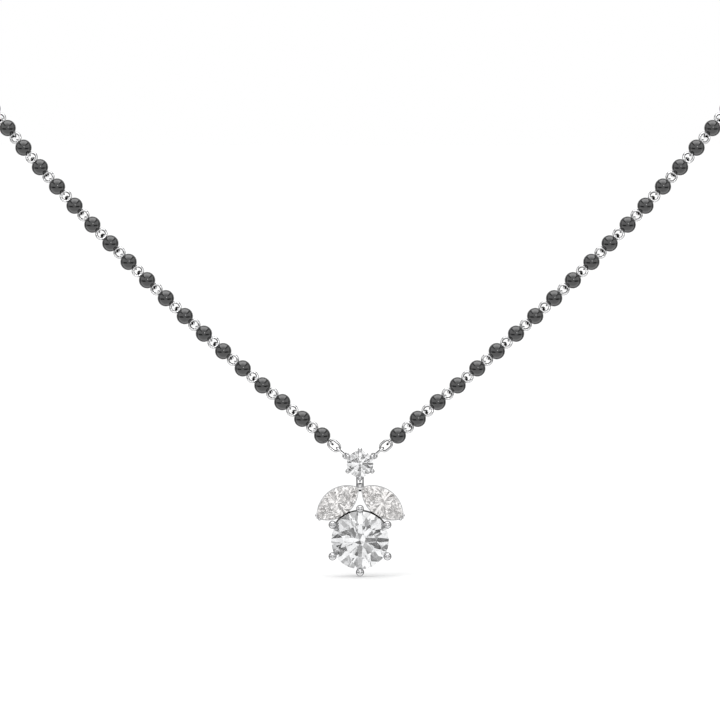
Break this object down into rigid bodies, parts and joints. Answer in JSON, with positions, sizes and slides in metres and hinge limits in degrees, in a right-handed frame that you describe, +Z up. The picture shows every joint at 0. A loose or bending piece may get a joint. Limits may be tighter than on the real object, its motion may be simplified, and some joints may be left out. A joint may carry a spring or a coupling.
{
  "type": "mangalsutra necklace",
  "caption": "Black bead necklace in white metal with a hanging pendant of leaf-shaped and round clear stones.",
  "frame": {"origin": "the nape, in the middle of the clasp, where the necklace hangs on the back of the neck", "axes": "+Z up as worn, +Y to the wearer's back, +X to the right of a viewer in front"},
  "size_m": [0.1274, 0.1068, 0.1267],
  "materials": {
    "black_bead": "gloss",
    "white_metal": "polished",
    "clear_stone": "polished"
  },
  "bodies": {
    "necklace": {"bead_strand_left": "black_bead", "bead_strand_right": "black_bead", "link_wire_left": "white_metal", "link_wire_right": "white_metal", "oval_link_left": "white_metal", "oval_link_right": "white_metal", "side_link_left": "white_metal", "side_link_right": "white_metal", "end_ring_left": "white_metal", "end_ring_right": "white_metal", "clasp": "white_metal"},
    "pendant": {"top_setting": "white_metal", "top_stone": "clear_stone"},
    "drop": {"drop_setting": "white_metal", "leaf_stone_left": "clear_stone", "leaf_stone_right": "clear_stone", "centre_stone": "clear_stone"}
  },
  "joints": [
    {"name": "pendant_swing", "type": "hinge", "parent": "necklace", "child": "pendant", "pos_m": [0, -0.104, -0.11102], "axis": [1, 0, 0], "range_deg": [-30, 30]},
    {"name": "drop_swing", "type": "hinge", "parent": "pendant", "child": "drop", "pos_m": [0, -0.104, -0.11385], "axis": [1, 0, 0], "range_deg": [-30, 30]}
  ]
}
